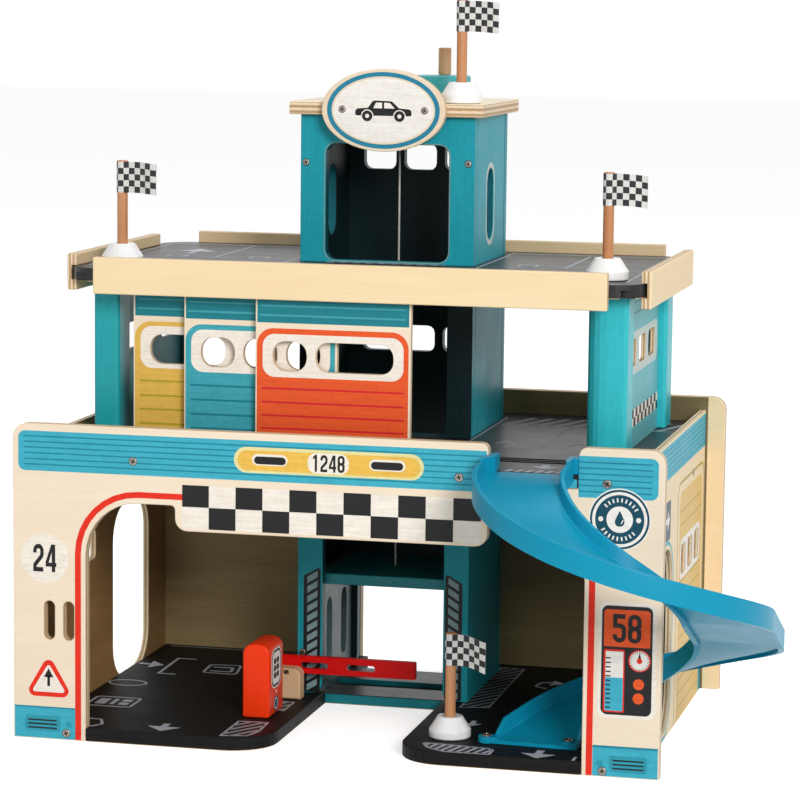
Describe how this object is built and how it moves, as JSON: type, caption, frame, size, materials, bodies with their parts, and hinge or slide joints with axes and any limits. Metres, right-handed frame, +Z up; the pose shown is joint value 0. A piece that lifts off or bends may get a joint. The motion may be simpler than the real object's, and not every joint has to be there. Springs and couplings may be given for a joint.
{
  "type": "toy garage",
  "caption": "Wooden toy garage on three levels with a crank lift in a tower, sliding doors, a spiral car ramp, a barrier and flags.",
  "frame": {"origin": "middle of the footprint on the table, ramp included", "axes": "+X to the ramp's side, +Y from the front to the back, +Z up"},
  "size_m": [0.5038, 0.4058, 0.4865],
  "materials": {
    "cream_print_ply": "satin printed plywood",
    "birch_ply": "satin lacquer",
    "yellow_print_board": "satin print",
    "black_print_board": "satin print",
    "teal_paint": "satin paint",
    "white_paint": "gloss paint",
    "orange_paint": "satin paint",
    "red_paint": "satin paint",
    "sky_print_board": "satin print",
    "beech": "natural",
    "ramp_plastic": "semi gloss moulded",
    "cord": "twisted string",
    "cotton": "woven print",
    "steel": "nickel plated"
  },
  "bodies": {
    "garage": {"front_panel": "cream_print_ply", "back_panel": "birch_ply", "tower_roof": "birch_ply", "fascia_front": "birch_ply", "fascia_back": "birch_ply", "fascia_left": "birch_ply", "fascia_right": "birch_ply", "side_panel_left": "yellow_print_board", "side_panel_right": "yellow_print_board", "ground_board_left": "black_print_board", "ground_board_right": "black_print_board", "middle_deck": "black_print_board", "top_deck": "black_print_board", "tower_front": "teal_paint", "tower_back": "teal_paint", "tower_left": "teal_paint", "tower_right": "teal_paint", "post_front_left": "teal_paint", "post_front_right": "teal_paint", "post_rear_left": "teal_paint", "post_rear_right": "teal_paint", "storey_wall_left": "teal_paint", "storey_wall_right": "teal_paint", "sign_plate": "white_paint", "fuel_pump": "orange_paint", "barrier_post": "beech", "ramp": "ramp_plastic", "lift_cord": "cord", "cord_lead": "cord", "cord_eye": "steel", "barrier_pin": "steel"},
    "lift": {"lift_floor": "teal_paint", "lift_roof": "teal_paint", "lift_wall_left": "teal_paint", "lift_wall_right": "teal_paint"},
    "crank": {"crank_knob": "teal_paint", "crank_handle": "beech", "crank_spool": "beech"},
    "door_front": {"door_front": "orange_paint"},
    "door_middle": {"door_middle": "sky_print_board"},
    "door_rear": {"door_rear": "yellow_print_board"},
    "barrier": {"barrier_arm": "red_paint"},
    "flag_left": {"flag_left_base": "white_paint", "flag_left_pole": "beech", "flag_left_cloth": "cotton"},
    "flag_right": {"flag_right_base": "white_paint", "flag_right_pole": "beech", "flag_right_cloth": "cotton"},
    "flag_roof": {"flag_roof_base": "white_paint", "flag_roof_pole": "beech", "flag_roof_cloth": "cotton"},
    "flag_ground": {"flag_ground_base": "white_paint", "flag_ground_pole": "beech", "flag_ground_cloth": "cotton"}
  },
  "joints": [
    {"name": "lift_slide", "type": "slide", "parent": "garage", "child": "lift", "axis": [0, 0, 1], "range_m": [0, 0.3], "deforming": ["lift_cord"]},
    {"name": "crank_turn", "type": "hinge", "parent": "garage", "child": "crank", "pos_m": [-0.0135, 0.1244, 0.418], "axis": [0, 0, 1], "range_deg": [0, 1565]},
    {"name": "door_front_slide", "type": "slide", "parent": "garage", "child": "door_front", "axis": [1, 0, 0], "range_m": [-0.124, 0.144]},
    {"name": "door_middle_slide", "type": "slide", "parent": "garage", "child": "door_middle", "axis": [1, 0, 0], "range_m": [-0.0732, 0.1948]},
    {"name": "door_rear_slide", "type": "slide", "parent": "garage", "child": "door_rear", "axis": [1, 0, 0], "range_m": [-0.036, 0.232]},
    {"name": "barrier_swing", "type": "hinge", "parent": "garage", "child": "barrier", "pos_m": [-0.099, 0.0532, 0.0278], "axis": [0, -1, 0], "range_deg": [0, 85]},
    {"name": "flag_left_lift", "type": "slide", "parent": "garage", "child": "flag_left", "axis": [0, 0, 1], "range_m": [0, 0.06]},
    {"name": "flag_right_lift", "type": "slide", "parent": "garage", "child": "flag_right", "axis": [0, 0, 1], "range_m": [0, 0.06]},
    {"name": "flag_roof_lift", "type": "slide", "parent": "garage", "child": "flag_roof", "axis": [0, 0, 1], "range_m": [0, 0.06]},
    {"name": "flag_ground_lift", "type": "slide", "parent": "garage", "child": "flag_ground", "axis": [0, 0, 1], "range_m": [0, 0.06]}
  ],
  "couplings": [
    {"joint": "crank_turn", "follows": "lift_slide", "rad_per_m": 90.909}
  ]
}
